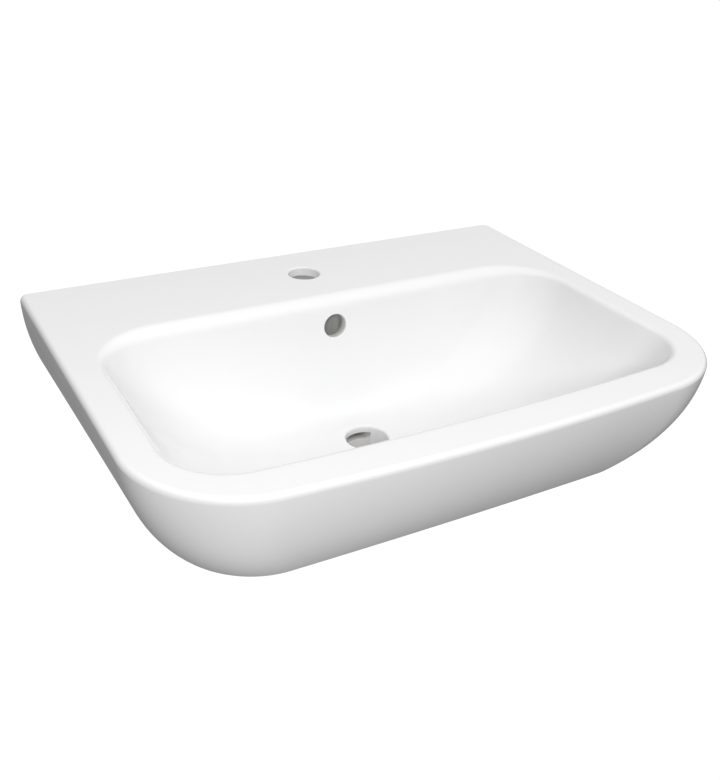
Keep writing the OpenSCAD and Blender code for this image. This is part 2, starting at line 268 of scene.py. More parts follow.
# %% The underside
UNDER_STEPS = 26
FINE_STEPS, FINE_START, FINE_POWER = 140, 0.02, 1.2
FILLET = 9 * MM
FILLET_STEPS = 6
FILLET_ROW = 3


def bowl_out(angle):
    """The way out of the bowl's inside into the china, square to the surface, for a whole level line."""
    up = bowl_ring(max(0.0, angle - SMALL_TURN)) - bowl_ring(min(QUARTER, angle + SMALL_TURN))
    ring = bowl_ring(angle)
    along = np.roll(ring, -1, axis=0) - np.roll(ring, 1, axis=0)
    normal = np.cross(up, along)
    return normal / np.linalg.norm(normal, axis=1)[:, None]


def ceiling_drop(y):
    return mix(LEDGE_T, RIM_T, ease((-LEDGE_D - y) / UNDER_BLEND))


def under_point_rings():
    """Level lines of the bowl's outside, from the underside of the rim down to the level floor."""
    fine = np.linspace(FINE_START, 1.0, FINE_STEPS) ** FINE_POWER * QUARTER
    stack = np.stack([bowl_ring(a) + bowl_out(a) * WALL for a in fine])
    stack[-1] = bowl_ring(QUARTER) - np.array([0, 0, WALL])
    top = RIM_Z - ceiling_drop(mouth[:, 1])
    rings = np.empty((UNDER_STEPS + 1, RING_N, 3))
    for i in range(RING_N):
        line = stack[:, i]
        keep = line[:, 2] <= top[i]
        first = np.argmax(keep)
        below = line[first:]
        if first > 0:
            above = line[first - 1]
            share = (above[2] - top[i]) / (above[2] - below[0][2])
            below = np.vstack([mix(above, below[0], share), below])
        else:
            below = np.vstack([[below[0][0], below[0][1], top[i]], below])
        run = np.concatenate([[0], np.cumsum(np.linalg.norm(np.diff(below, axis=0), axis=1))])
        spots = np.linspace(0, run[-1], UNDER_STEPS + 1)
        for axis in range(3):
            rings[:, i, axis] = np.interp(spots, run, below[:, axis])
    return rings


def soft_corner(before, corner, after, radius, steps=FILLET_STEPS):
    """Level lines that round the corner between two walls, with at most half of each wall used up."""
    back = before - corner
    ahead = after - corner
    back_length = np.linalg.norm(back, axis=1)[:, None]
    ahead_length = np.linalg.norm(ahead, axis=1)[:, None]
    start = corner + back * np.minimum(radius / back_length, 0.5)
    end = corner + ahead * np.minimum(radius / ahead_length, 0.5)
    shares = np.linspace(0, 1, steps + 1)
    return [start * (1 - t) ** 2 + corner * 2 * t * (1 - t) + end * t * t for t in shares]


under = under_point_rings()
print("the underside runs, in mm:", [round(z / MM, 1) for z in (under[0, :, 2].max(), under[-1, 0, 2])])

# %% [markdown]
# All level lines are now listed in order, from the middle of the bowl out over the rim, down the skirt and
# back in underneath. Each group also says how much glaze it carries: 1 where the glaze is full and glossy,
# less inside the skirt, where it is sprayed on thinly, and 0 at the foot, which is wiped bare before firing.
# True arcs stand out a hair from the CAD's facets, so all lines are drawn in by that hair, to stay inside the
# CAD's box.

# %% Level lines of the whole skin
BOWL_STEPS = 44
BOWL_SPREAD = 1.25
EDGE_STEPS = 12
RIM_STEPS = 14
RIM_EDGE_STEPS = 10
SKIRT_STEPS = 20
LIP_STEPS = 8
SAME_LEVEL = 1e-6
INSIDE_STEPS = 10
SUPPORT = 1.2 * MM
FULL_GLAZE, THIN_GLAZE = 1.0, 0.45


def skirt_ring(drop, side_in, back_in):
    flat = skirt_outline(drop, side_in, back_in)
    return np.column_stack([flat, np.full(RING_N, RIM_Z - drop)])


def lip_ring(turn, inner):
    inset = LIP_R * (1 - math.cos(turn))
    drop = SKIRT_H - LIP_R * (1 - math.sin(turn))
    if inner:
        return skirt_ring(drop, WALL - inset, BACK_WALL - inset)
    return skirt_ring(drop, inset, inset)


def inside_ring(share):
    """A line on the inside of the skirt, from just above the foot up to the underside of the rim."""
    top = ceiling_drop(mouth[:, 1])
    drops = mix(SKIRT_H - LIP_R, top, share)
    ring = np.empty((RING_N, 3))
    for drop in np.unique(drops.round(6)):
        same = np.isclose(drops, drop, atol=SAME_LEVEL)
        ring[same] = skirt_ring(drop, WALL, BACK_WALL)[same]
    ring[:, 2] = RIM_Z - drops
    return ring


def level_lines():
    lines = []
    lines += [(bowl_ring(QUARTER * s ** BOWL_SPREAD), FULL_GLAZE) for s in np.linspace(1, 0, BOWL_STEPS + 1)]
    lines += [(bowl_edge_ring(s), FULL_GLAZE) for s in np.linspace(1, 0, EDGE_STEPS + 1)]
    flat_rim = bowl_edge_ring(0.0)
    flat_rim[:, :2] -= mouth_inward * SUPPORT
    outer = RIM_EDGE_R + SUPPORT
    outer_rim = skirt_ring(0.0, outer, outer * BACK_EDGE_SHARE)
    lines += [(mix(flat_rim, outer_rim, s), FULL_GLAZE) for s in np.linspace(0, 1, RIM_STEPS + 1)]
    for s in np.linspace(0, QUARTER, RIM_EDGE_STEPS + 1):
        inset = RIM_EDGE_R * (1 - math.sin(s))
        drop = RIM_EDGE_R * (1 - math.cos(s))
        lines.append((skirt_ring(drop, inset, inset * BACK_EDGE_SHARE), FULL_GLAZE))
    lines += [(skirt_ring(d, 0.0, 0.0), FULL_GLAZE)
              for d in np.linspace(RIM_EDGE_R, SKIRT_H - LIP_R, SKIRT_STEPS + 1)[1:]]
    lines += [(lip_ring(s, False), FULL_GLAZE * (1 - s / QUARTER))
              for s in np.linspace(0, QUARTER, LIP_STEPS + 1)[1:]]
    lines += [(lip_ring(s, True), THIN_GLAZE * (1 - s / QUARTER))
              for s in np.linspace(QUARTER, 0, LIP_STEPS + 1)]
    corner_out = inside_ring(1.0)
    corner_in = under[0]
    inside_foot = inside_ring(0.0)
    fillet_out = soft_corner(inside_foot, corner_out, corner_in, FILLET)
    fillet_in = soft_corner(corner_out, corner_in, under[FILLET_ROW], FILLET)
    for share in np.linspace(0, 1, INSIDE_STEPS + 1)[1:-1]:
        lines.append((mix(inside_foot, fillet_out[0], share), THIN_GLAZE))
    lines += [(ring, THIN_GLAZE) for ring in fillet_out + fillet_in]
    lines += [(ring, THIN_GLAZE) for ring in under[FILLET_ROW:]]
    return lines


lines = level_lines()
reach = np.abs(np.concatenate([ring for ring, glaze in lines])).max(axis=0)
draw_in = np.array([china_high.x / reach[0], -china_low.y / reach[1], 1.0])
lines = [(ring * draw_in, glaze) for ring, glaze in lines]
print("level lines:", len(lines), "drawn in by, in mm:", ((1 - draw_in) * reach / MM).round(3))

# %% [markdown]
# The skin is drawn straight over the level lines, four-sided face by face, and closed with one flat face at
# each end. A Skin or Remesh modifier could close it too, but would move the points away from the rule. Which
# way the faces look is then told from the volume, which only comes out above nothing when they look outwards.

# %% Skin over the level lines
def mesh_object(name, points, faces):
    mesh = bpy.data.meshes.new(name)
    mesh.from_pydata([tuple(p) for p in points], [], faces)
    mesh.validate()
    made = bpy.data.objects.new(name, mesh)
    bpy.context.scene.collection.objects.link(made)
    return made


def face_outwards(made):
    """Turns a closed mesh's faces outwards, which its signed volume tells apart."""
    work = bmesh.new()
    work.from_mesh(made.data)
    bmesh.ops.recalc_face_normals(work, faces=work.faces)
    if work.calc_volume(signed=True) < 0:
        bmesh.ops.reverse_faces(work, faces=work.faces)
    volume = work.calc_volume(signed=True)
    work.to_mesh(made.data)
    work.free()
    return volume


def skin(name, rings):
    """A closed skin over rings of equal length, flat at both ends."""
    n = len(rings[0])
    faces = [list(range(n))]
    for k in range(len(rings) - 1):
        for i in range(n):
            a = k * n + i
            b = k * n + (i + 1) % n
            faces.append([a, a + n, b + n, b])
    last = (len(rings) - 1) * n
    faces.append([last + i for i in range(n - 1, -1, -1)])
    made = mesh_object(name, np.concatenate(rings), faces)
    volume = face_outwards(made)
    print(name, "volume in litres:", round(volume * 1000, 3), "faces:", len(made.data.polygons))
    return made


china = skin("china", [ring for ring, glaze in lines])

# %% [markdown]
# Under the bowl hangs the boss that takes the waste, and behind the bowl runs the duct from the overflow hole
# to the waste hole. Both are part of the casting. They are made as closed forms and joined on with a Boolean,
# and the holes are cut the same way. Each cutter carries the rounding of its hole's edge, so the edge comes
# out soft in one cut, where a Bevel would have to guess its way across a curved wall.

# %% Turned forms and swept forms
ROUND_STEPS = 96
LIP_POINTS = 13
DUCT_STEPS = 25
CORNER_POINTS = 7
OVER = 2 * MM


def lathe(name, profile, at, axis):
    """Turns a profile of (radius, height) pairs round an axis that starts at a point."""
    axis = Vector(axis).normalized()
    turn = Vector((0, 0, 1)).rotation_difference(axis).to_matrix()
    rings = []
    for radius, height in profile:
        ring = [turn @ Vector((radius * math.cos(a), radius * math.sin(a), height)) + Vector(at)
                for a in np.linspace(0, 2 * math.pi, ROUND_STEPS, endpoint=False)]
        rings.append(np.array(ring))
    return skin(name, rings)


def bore_profile(r, low, high, lip):
    """A straight bore with a rounded upper edge, open past its top."""
    rounding = [(r + lip * (1 - math.cos(a)), high - lip + lip * math.sin(a))
                for a in np.linspace(0, QUARTER, LIP_POINTS)]
    return [(r, low)] + rounding + [(r + lip, high + OVER)]


def duct_line(distance, sink):
    """Seen from the side, a line behind the bowl's middle, at a distance from its inside."""
    points = []
    for s in np.linspace(0, 1, DUCT_STEPS):
        ring = bowl_ring(s * QUARTER)[0]
        out = bowl_out(s * QUARTER)[0] if s < 1 else np.array([0, 0, -1.0])
        point = ring + out * (distance + sink * s * s)
        points.append([point[1], point[2]])
    points.append([WASTE_AT[1], FLOOR_Z - distance - sink])
    return np.array(points)


def swept(name, near, far, top, half_w, corner):
    """A strip between two lines seen from the side, with its far corners rounded."""
    near = np.vstack([[near[0][0], top], near])
    far = np.vstack([[far[0][0], top], far])
    turns = np.linspace(0, QUARTER, CORNER_POINTS)
    rings = []
    for close, distant in zip(near, far):
        depth = np.linalg.norm(distant - close)
        share = min(1.0, corner / depth)
        section = [(-half_w, 0.0)]
        section += [(-half_w + corner * (1 - math.cos(t)), 1 - share * (1 - math.sin(t))) for t in turns]
        section += [(half_w - corner * (1 - math.sin(t)), 1 - share * (1 - math.cos(t))) for t in turns]
        section += [(half_w, 0.0)]
        rings.append(np.array([[x, *mix(close, distant, u)] for x, u in section]))
    return skin(name, rings)


print("share of its radius that a turned ring falls short:", round(1 - math.cos(math.pi / ROUND_STEPS), 5))

# %% [markdown]
# The joins come first and the cuts after, in the order in which the mould and the drill would make them: boss
# and duct casing are joined on, then the duct is cut out, then waste, tap and overflow holes, and last the
# two holes for the wall fixings. The casing ends just inside the ledge, so that the two join, and the duct
# stops at the ledge's underside.

# %% Boss, duct and holes
BOSS_R = 40 * MM
BOSS_FLARE = 12 * MM
BOSS_EDGE = 1.5 * MM
BOSS_EDGE_POINTS, BOSS_FLARE_POINTS = 5, 9
WASTE_R, WASTE_LIP = 23 * MM, 3 * MM
TAP_R, TAP_LIP, TAP_Y = 17.5 * MM, 2 * MM, -62 * MM
OVERFLOW_R, OVERFLOW_LIP, OVERFLOW_DROP = 13 * MM, 1.5 * MM, 32 * MM
DUCT_W, DUCT_D, DUCT_WALL = 30 * MM, 14 * MM, 7 * MM
DUCT_SINK, DUCT_FAR_SINK = -3 * MM, -9 * MM
CASING_CORNER, CHANNEL_CORNER = 7 * MM, 5 * MM
FIXING_X, FIXING_HOLE_R = 140 * MM, 10 * MM


def boss_profile():
    flare_z = FLOOR_Z - WALL - BOSS_FLARE + OVER
    edge = [(BOSS_R - BOSS_EDGE * (1 - math.sin(a)), BOSS_Z + BOSS_EDGE * (1 - math.cos(a)))
            for a in np.linspace(0, QUARTER, BOSS_EDGE_POINTS)]
    flare = [(BOSS_R + BOSS_FLARE * (1 - math.cos(a)), flare_z + BOSS_FLARE * math.sin(a))
             for a in np.linspace(0, QUARTER, BOSS_FLARE_POINTS)]
    return edge + flare + [(BOSS_R, FLOOR_Z - OVER)]


def overflow_place():
    """Where the overflow hole's axis meets the bowl's back wall, and the way out of the china there."""
    down = (OVERFLOW_DROP - LEDGE_EDGE_R) / (BOWL_DEPTH - LEDGE_EDGE_R)
    angle = math.asin(down ** (BOWL_POWER / 2))
    return bowl_ring(angle)[0], -bowl_out(angle)[0]


def apply_step(made, step):
    """Leaves the plain mesh that a modifier makes, and takes the modifier off."""
    ready = made.evaluated_get(bpy.context.evaluated_depsgraph_get())
    mesh = bpy.data.meshes.new_from_object(ready)
    made.modifiers.remove(step)
    made.data = mesh


def boolean(body, tool, operation):
    step = body.modifiers.new(tool.name, "BOOLEAN")
    step.operation = operation
    step.solver = "MANIFOLD"
    step.object = tool
    apply_step(body, step)
    bpy.data.objects.remove(tool)
    print(operation.lower(), "leaves", len(body.data.polygons), "faces")


waste_point = (0, WASTE_AT[1], 0)
tap_point = (0, TAP_Y, 0)
up = (0, 0, 1)
hole_at, hole_axis = overflow_place()
print("overflow hole at", (hole_at / MM).round(1), "facing", hole_axis.round(3))
boolean(china, lathe("boss", boss_profile(), waste_point, up), "UNION")
casing = swept("casing", duct_line(WALL / 2, 0), duct_line(WALL + DUCT_D + DUCT_WALL, DUCT_FAR_SINK),
               RIM_Z - LEDGE_T + OVER, DUCT_W / 2 + DUCT_WALL, CASING_CORNER)
boolean(china, casing, "UNION")
channel = swept("channel", duct_line(WALL, DUCT_SINK), duct_line(WALL + DUCT_D, DUCT_FAR_SINK),
                RIM_Z - LEDGE_T, DUCT_W / 2, CHANNEL_CORNER)
channel_faces = [face.vertices for face in channel.data.polygons]
duct_skin = BVHTree.FromPolygons([v.co for v in channel.data.vertices], channel_faces)
boolean(china, channel, "DIFFERENCE")
fixing_hole = [(FIXING_HOLE_R, -OVER), (FIXING_HOLE_R, BACK_WALL + OVER)]
holes = {
    "waste_cut": (bore_profile(WASTE_R, BOSS_Z - OVER, FLOOR_Z, WASTE_LIP), waste_point, up),
    "tap_cut": (bore_profile(TAP_R, RIM_Z - LEDGE_T - OVER, RIM_Z, TAP_LIP), tap_point, up),
    "overflow_cut": (bore_profile(OVERFLOW_R, -WALL - DUCT_D / 2, 0, OVERFLOW_LIP), hole_at, hole_axis),
    "left_fixing_cut": (fixing_hole, (-FIXING_X, 0, 0), (0, -1, 0)),
    "right_fixing_cut": (fixing_hole, (FIXING_X, 0, 0), (0, -1, 0)),
}
for name, (profile, at, axis) in holes.items():
    boolean(china, lathe(name, profile, at, axis), "DIFFERENCE")

# %% [markdown]
# A Boolean leaves long thin faces on the flat rim, and plain smooth shading would bend their light. A
# Weighted Normal modifier lets large faces keep their own direction, so the flat rim stays flat and the edges
# stay soft. The share of glaze is then written on each point of the mesh, read off the nearest level line, so
# that the material can follow the form. No glaze reaches the inside of the overflow duct, so its points get a
# share below nothing, which the material takes as bare clay darkened grey with painted shade.

# %% Shading and glaze of the china
SHARP = math.radians(35)
DUCT_GLAZE = -1.0
NEAR_DUCT = 0.1 * MM


def smooth(made, angle=SHARP):
    made.data.shade_smooth()
    made.data.set_sharp_from_angle(angle=angle)
    weighted = made.modifiers.new("weighted", "WEIGHTED_NORMAL")
    weighted.mode = "FACE_AREA_WITH_ANGLE"
    weighted.keep_sharp = True
    apply_step(made, weighted)


def write_glaze(made):
    tree = KDTree(len(lines) * RING_N)
    shares = []
    for ring, glaze in lines:
        for point in ring:
            tree.insert(point, len(shares))
            shares.append(glaze)
    tree.balance()
    values = []
    for vertex in made.data.vertices:
        past_bore = math.dist(vertex.co.xy, WASTE_AT) > WASTE_R + NEAR_DUCT
        in_duct = past_bore and duct_skin.find_nearest(vertex.co)[3] < NEAR_DUCT
        values.append(DUCT_GLAZE if in_duct else shares[tree.find(vertex.co)[1]])
    glaze = made.data.attributes.new("glaze", "FLOAT", "POINT")
    glaze.data.foreach_set("value", np.array(values, np.float32))
    print("points:", len(values), "with full glaze:", values.count(FULL_GLAZE),
          "in the duct:", values.count(DUCT_GLAZE))


smooth(china)
write_glaze(china)
china.name = "china_basin"

# %% [markdown]
# Materials are sums of patterns, and a sum is easier to read as one than as a tangle of nodes. This small
# class wraps a node's socket, so that adding or multiplying two of them adds the Math node that does it. It
# serves the shaders and the Geometry Nodes alike, because both kinds of tree know the same Math node.

# %% Sums written as Python
class Value:
    """A socket that can be added, subtracted, multiplied and divided like a number."""

    def __init__(self, tree, socket):
        self.tree = tree
        self.socket = socket

    @classmethod
    def node(cls, tree, kind, settings=None, sockets=None, output=0):
        """Adds a node, applies its settings, fills its sockets and returns one of its outputs."""
        made = tree.nodes.new(kind)
        for name, setting in (settings or {}).items():
            if name == "stops":
                for place, (at, colour) in enumerate(setting):
                    ramp = made.color_ramp.elements
                    stop = ramp[place] if place < len(ramp) else ramp.new(at)
                    stop.position = at
                    stop.color = colour
            else:
                setattr(made, name, setting)
        for name, value in (sockets or {}).items():
            cls.fill(tree, made.inputs[name], value)
        return cls(tree, made.outputs[output])

    @staticmethod
    def fill(tree, socket, value):
        if isinstance(value, Value):
            tree.links.new(value.socket, socket)
        else:
            socket.default_value = value

    def math(self, operation, *others):
        sockets = dict(enumerate((self, *others)))
        return Value.node(self.tree, "ShaderNodeMath", {"operation": operation}, sockets)

    def flipped(self, operation, other):
        sockets = {0: other, 1: self}
        return Value.node(self.tree, "ShaderNodeMath", {"operation": operation}, sockets)

    def __add__(self, other):
        return self.math("ADD", other)

    def __sub__(self, other):
        return self.math("SUBTRACT", other)

    def __mul__(self, other):
        return self.math("MULTIPLY", other)

    def __truediv__(self, other):
        return self.math("DIVIDE", other)

    def __radd__(self, other):
        return self.flipped("ADD", other)

    def __rsub__(self, other):
        return self.flipped("SUBTRACT", other)

    def __rmul__(self, other):
        return self.flipped("MULTIPLY", other)

    def __rtruediv__(self, other):
        return self.flipped("DIVIDE", other)

    def clamp(self):
        return self.math("MAXIMUM", 0.0).math("MINIMUM", 1.0)

    def between(self, low, high):
        """0 below low, 1 above high, and a smooth step between them."""
        settings = {"interpolation_type": "SMOOTHSTEP"}
        sockets = {"Value": self, "From Min": low, "From Max": high}
        return Value.node(self.tree, "ShaderNodeMapRange", settings, sockets)


# %% [markdown]
# Every material starts from the same few lines: an empty tree, the surface shader and its output. Patterns
# read Object coordinates, which are true metres here because every object sits unturned at the origin. What
# is the same all over is set on the shader's own sockets.

# %% Helpers for materials
def new_material(name, **constants):
    material = bpy.data.materials.new(name)
    material.use_nodes = True
    tree = material.node_tree
    shader = tree.nodes["Principled BSDF"]
    for socket, value in constants.items():
        shader.inputs[socket.replace("_", " ")].default_value = value
    return material, tree, shader


def position(tree):
    return Value.node(tree, "ShaderNodeTexCoord", output="Object")


def noise(tree, where, scale, detail=2.0, roughness=0.5):
    sockets = {"Vector": where, "Scale": scale, "Detail": detail, "Roughness": roughness}
    return Value.node(tree, "ShaderNodeTexNoise", {}, sockets, output=0)


def blend(tree, share, first, second):
    """A colour between two colours."""
    settings = {"data_type": "RGBA"}
    return Value.node(tree, "ShaderNodeMix", settings, {0: share, 6: first, 7: second}, output=2)


def bump(tree, height, depth, strength):
    """A surface direction from a height pattern, whose full height is depth, in metres."""
    return Value.node(tree, "ShaderNodeBump", {}, {"Strength": strength, "Distance": depth, "Height": height})


def put(tree, shader, **links):
    for socket, value in links.items():
        Value.fill(tree, shader.inputs[socket.replace("_", " ")], value)


# %% [markdown]
# Vitreous china is a grey-white clay under a fired white glaze. The glaze is a clear, very smooth layer, a
# little wavy where it flowed, and slightly uneven in tone. Where it is thin, inside the skirt, it is duller
# and the clay shows through. At the foot and on the wall side the clay is bare: matt, warmer and finely
# pitted. Inside the overflow duct it is bare too, and painted shade darkens it to grey. Four materials could
# be painted on by hand, but one holds them all, because the change from one to the next follows the glaze
# written on the mesh.

# %% China
GLAZE_TONES = (0.86, 0.865, 0.865, 1), (0.885, 0.885, 0.88, 1)
THIN_TONES = (0.79, 0.788, 0.78, 1), (0.75, 0.748, 0.738, 1)
CLAY_TONES = (0.62, 0.60, 0.57, 1), (0.78, 0.765, 0.74, 1)
SPECK_TONE, SPECK_SHARE = (0.37, 0.34, 0.30, 1), 0.5
# Painted shade: the grey that darkens the bare clay inside the overflow duct.
DUCT_PAINTED_SHADE_TONE = (0.46, 0.46, 0.455, 1)
MIDDLE = 0.5
# Each pair says where a change begins and where it is complete.
GLAZE_COVERS, GLAZE_FILLS, DUCT_PAINTED_SHADE_SHOWS, SPECK_SHOWS = (0.10, 0.22), (0.5, 0.95), (0.2, 0.9), (0.76, 0.82)
WALL_SIDE = (-1.6 * MM, -0.6 * MM)
GLAZE_DRIFT, WALL_DRIFT = 0.25, 2 * MM
CLAY_ROUGH, COVERED_SMOOTHER, FULL_SMOOTHER, CLOUD_ROUGH = 0.85, 0.38, 0.12, 0.06
THIN_COAT, MORE_COAT = 0.3, 0.5
WAVE_H, SKIN_GRAIN_H, CLAY_GRAIN_H, RELIEF = 0.9, 0.05, 0.8, 0.4 * MM


def make_china():
    material, tree, shader = new_material(
        "china_glaze", Metallic=0.0, Coat_Roughness=0.05, Coat_IOR=1.5, IOR=1.45)
    where = position(tree)
    glaze = Value.node(tree, "ShaderNodeAttribute", {"attribute_name": "glaze"}, output="Fac")
    into_wall = Value.node(tree, "ShaderNodeSeparateXYZ", {}, {0: where}, output="Y")
    drift = noise(tree, where, scale=160, detail=3) - MIDDLE
    wall_side = (into_wall + drift * WALL_DRIFT).between(*WALL_SIDE)
    covered = (glaze + drift * GLAZE_DRIFT).between(*GLAZE_COVERS) * (1 - wall_side)
    full = glaze.between(*GLAZE_FILLS) * covered
    cloud = noise(tree, where, scale=9, detail=2)
    specks = noise(tree, where, scale=900, detail=1).between(*SPECK_SHOWS)
    clay_grain = noise(tree, where, scale=420, detail=4, roughness=0.65)
    clay = blend(tree, clay_grain, *CLAY_TONES)
    clay = blend(tree, specks * SPECK_SHARE, clay, SPECK_TONE)
    # Painted shade: points with a glaze share below nothing, inside the duct, are darkened to grey.
    clay = blend(tree, (glaze * -1.0).between(*DUCT_PAINTED_SHADE_SHOWS), clay, DUCT_PAINTED_SHADE_TONE)
    glazed = blend(tree, full, blend(tree, cloud, *THIN_TONES), blend(tree, cloud, *GLAZE_TONES))
    waves = noise(tree, where, scale=26, detail=1)
    skin_grain = noise(tree, where, scale=240, detail=2)
    gloss_height = waves * WAVE_H + skin_grain * SKIN_GRAIN_H
    height = gloss_height * covered + clay_grain * CLAY_GRAIN_H * (1 - covered)
    smoother = covered * COVERED_SMOOTHER + full * FULL_SMOOTHER
    put(tree, shader,
        Base_Color=blend(tree, covered, clay, glazed),
        Roughness=CLAY_ROUGH - smoother + (cloud - MIDDLE) * CLOUD_ROUGH,
        Coat_Weight=covered * (THIN_COAT + full * MORE_COAT),
        Normal=bump(tree, height, RELIEF, strength=0.35))
    return material


glazed_china = make_china()
china.data.materials.clear()
china.data.materials.append(glazed_china)
print("nodes in the china's material:", len(glazed_china.node_tree.nodes))

# %% [markdown]
# Zinc plate is a thin bright metal, a little cloudy, with fine rolled streaks. Nylon is moulded: it has a
# soft sheen, a faint mottle where the melt flowed, and a fine grain from the mould.

# %% Zinc and nylon
ZINC_TONES = (0.60, 0.615, 0.64, 1), (0.76, 0.765, 0.76, 1)
ZINC_ROUGH, CLOUDED_ROUGH, GRAIN_ROUGH, MOTTLED_ROUGH = 0.26, 0.12, 0.06, 0.12
ZINC_RELIEF, NYLON_RELIEF = 0.03 * MM, 0.04 * MM


def make_zinc():
    material, tree, shader = new_material("zinc_plate", Metallic=1.0)
    where = position(tree)
    cloud = noise(tree, where, scale=90, detail=3)
    grain = noise(tree, where, scale=1500, detail=2)
    put(tree, shader,
        Base_Color=blend(tree, cloud, *ZINC_TONES),
        Roughness=ZINC_ROUGH + cloud * CLOUDED_ROUGH + grain * GRAIN_ROUGH,
        Normal=bump(tree, grain, ZINC_RELIEF, strength=0.6))
    return material


def make_nylon(name, dark, light, rough):
    material, tree, shader = new_material(name, Metallic=0.0)
    where = position(tree)
    mottle = noise(tree, where, scale=120, detail=2)
    grain = noise(tree, where, scale=2200, detail=2)
    put(tree, shader,
        Base_Color=blend(tree, mottle, dark, light),
        Roughness=rough + mottle * MOTTLED_ROUGH,
        Normal=bump(tree, grain, NYLON_RELIEF, strength=0.5))
    return material


zinc = make_zinc()
grey_nylon = make_nylon(
    "moulded_grey_nylon", dark=(0.24, 0.25, 0.26, 1), light=(0.30, 0.31, 0.32, 1), rough=0.45)
white_nylon = make_nylon(
    "moulded_white_nylon", dark=(0.74, 0.74, 0.70, 1), light=(0.80, 0.80, 0.77, 1), rough=0.38)
print("materials:", sorted(material.name for material in bpy.data.materials))

# %% [markdown]
# A finished piece is handed on by two calls: it rides with the part's only body, and it stands for its node
# of the CAD model, which is hidden. Its open edges are counted as well, because a real piece is closed all
# round. One helper does this for all the pieces, so that none is forgotten, and the china comes first.

# %% Handing a piece on
def open_edges(made):
    """How many edges don't join exactly two faces: none on a closed skin."""
    work = bmesh.new()
    work.from_mesh(made.data)
    loose = sum(len(edge.link_faces) != 2 for edge in work.edges)
    work.free()
    return loose


def hand_in(made, node):
    """Passes a finished piece on: its body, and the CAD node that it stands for."""
    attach(made, "root")
    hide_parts(node)
    print(made.name, "faces:", len(made.data.polygons), "open edges:", open_edges(made))


hand_in(china, "basin")

# %% [markdown]
# Threads and barbs repeat by a rule, so they are grown with Geometry Nodes. A tree takes named numbers and
# gives a mesh, and each number can be changed without drawing anything again. These helpers make an empty
# tree with its inputs, close it with the two nodes that every tree here ends in, and turn its result into
# plain mesh.

# %% Helpers for trees
def new_tree(name, **inputs):
    """An empty geometry tree and its inputs: the geometry first, then each named number."""
    tree = bpy.data.node_groups.new(name, "GeometryNodeTree")
    tree.interface.new_socket("Geometry", in_out="INPUT", socket_type="NodeSocketGeometry")
    tree.interface.new_socket("Geometry", in_out="OUTPUT", socket_type="NodeSocketGeometry")
    for label, start in inputs.items():
        tree.interface.new_socket(label, in_out="INPUT", socket_type="NodeSocketFloat").default_value = start
    given = tree.nodes.new("NodeGroupInput")
    return tree, [Value(tree, given.outputs[k]) for k in range(len(inputs) + 1)]


def close_tree(tree, geometry, material):
    real = Value.node(tree, "GeometryNodeRealizeInstances", {}, {"Geometry": geometry})
    painted = Value.node(tree, "GeometryNodeSetMaterial", {}, {"Geometry": real, "Material": material})
    tree.links.new(painted.socket, tree.nodes.new("NodeGroupOutput").inputs[0])


def run_tree(tree, made, **values):
    """Applies a tree to an object, with its named numbers, and leaves plain mesh."""
    step = made.modifiers.new(tree.name, "NODES")
    step.node_group = tree
    for socket in tree.interface.items_tree:
        if socket.name in values:
            step[socket.identifier] = values[socket.name]
    apply_step(made, step)


def split_position(tree):
    """The three parts of a point's place."""
    where = Value.node(tree, "GeometryNodeInputPosition")
    axes = Value.node(tree, "ShaderNodeSeparateXYZ", {}, {0: where}).socket.node
    return [Value(tree, socket) for socket in axes.outputs]


def move_points(tree, geometry, x, y, z):
    place = Value.node(tree, "ShaderNodeCombineXYZ", {}, {"X": x, "Y": y, "Z": z})
    return Value.node(tree, "GeometryNodeSetPosition", {}, {"Geometry": geometry, "Position": place})


# %% [markdown]
# A hanger bolt holds the basin to the wall. It has a coarse thread that bites into the plug, a plain shank,
# and a machine thread for the nut. A thread could be a profile swept along a helix, but the sweep meets
# itself at every turn. Here a flat grid is rolled up instead, and sheared by one pitch while it closes: each
# row of the grid then runs along the helix, and a rule by rows cuts clean crests and roots. Both halves are
# the same roll, each counted from its own free end, and they meet in the shank.

# %% Hanger bolt
BOLT_OUT, BOLT_IN, BOLT_R, SHANK_R = 55 * MM, 65 * MM, 5 * MM, 4.5 * MM
ROOM_HALF = {"plain": 12 * MM, "root": 0.25, "end_r": 4 * MM, "slope": 1.0}
WALL_HALF = {"plain": 8 * MM, "root": 0.6, "end_r": 0.4 * MM, "slope": 0.5}
AROUND, ROWS_PER_TURN = 48, 10
TURNS_BEFORE, TURNS_SPARE = 2.0, 3.0
CREST = 0.9
MERGE = 0.004 * MM
THREAD_SHARP = math.radians(50)


def thread_half(tree, start_y, way, length, pitch, core, plain, root, end_r, slope):
    """Rolls one half of a bolt, from its free end at start_y along Y, forwards or back as way says.

    Its last stretch is plain. The share root of each turn is flat root, and the free end starts with the
    radius end_r and widens by the slope. Half a row is added, so that none is lost when they are counted.
    """
    rows = ((length / pitch).math("CEIL") + TURNS_SPARE) * ROWS_PER_TURN + 1.0
    counts = {"Vertices X": AROUND + 1, "Vertices Y": rows + 0.5}
    grid = Value.node(tree, "GeometryNodeMeshGrid", {}, {"Size X": 1.0, "Size Y": 1.0, **counts})
    x, y, _ = split_position(tree)
    turn = x + 0.5
    row = ((y + 0.5) * (rows - 1.0)).math("ROUND")
    along = (row / ROWS_PER_TURN + turn - TURNS_BEFORE) * pitch
    inside = along.math("MAXIMUM", 0.0).math("MINIMUM", length)
    height = ((row / ROWS_PER_TURN).math("FRACT") - 0.5).math("ABSOLUTE") * 2.0
    share = ((height - root) / (CREST - root)).clamp()
    threaded = core + (BOLT_R - core) * share
    fade = ((length - plain - inside) / pitch).clamp()
    radius = (SHANK_R + (threaded - SHANK_R) * fade).math("MINIMUM", end_r + inside * slope)
    radius = radius * (along / pitch + 1.0).clamp()
    angle = turn * (2 * math.pi * way)
    aside, up = radius * angle.math("SINE"), radius * angle.math("COSINE")
    return move_points(tree, grid, aside, start_y + inside * way, up)


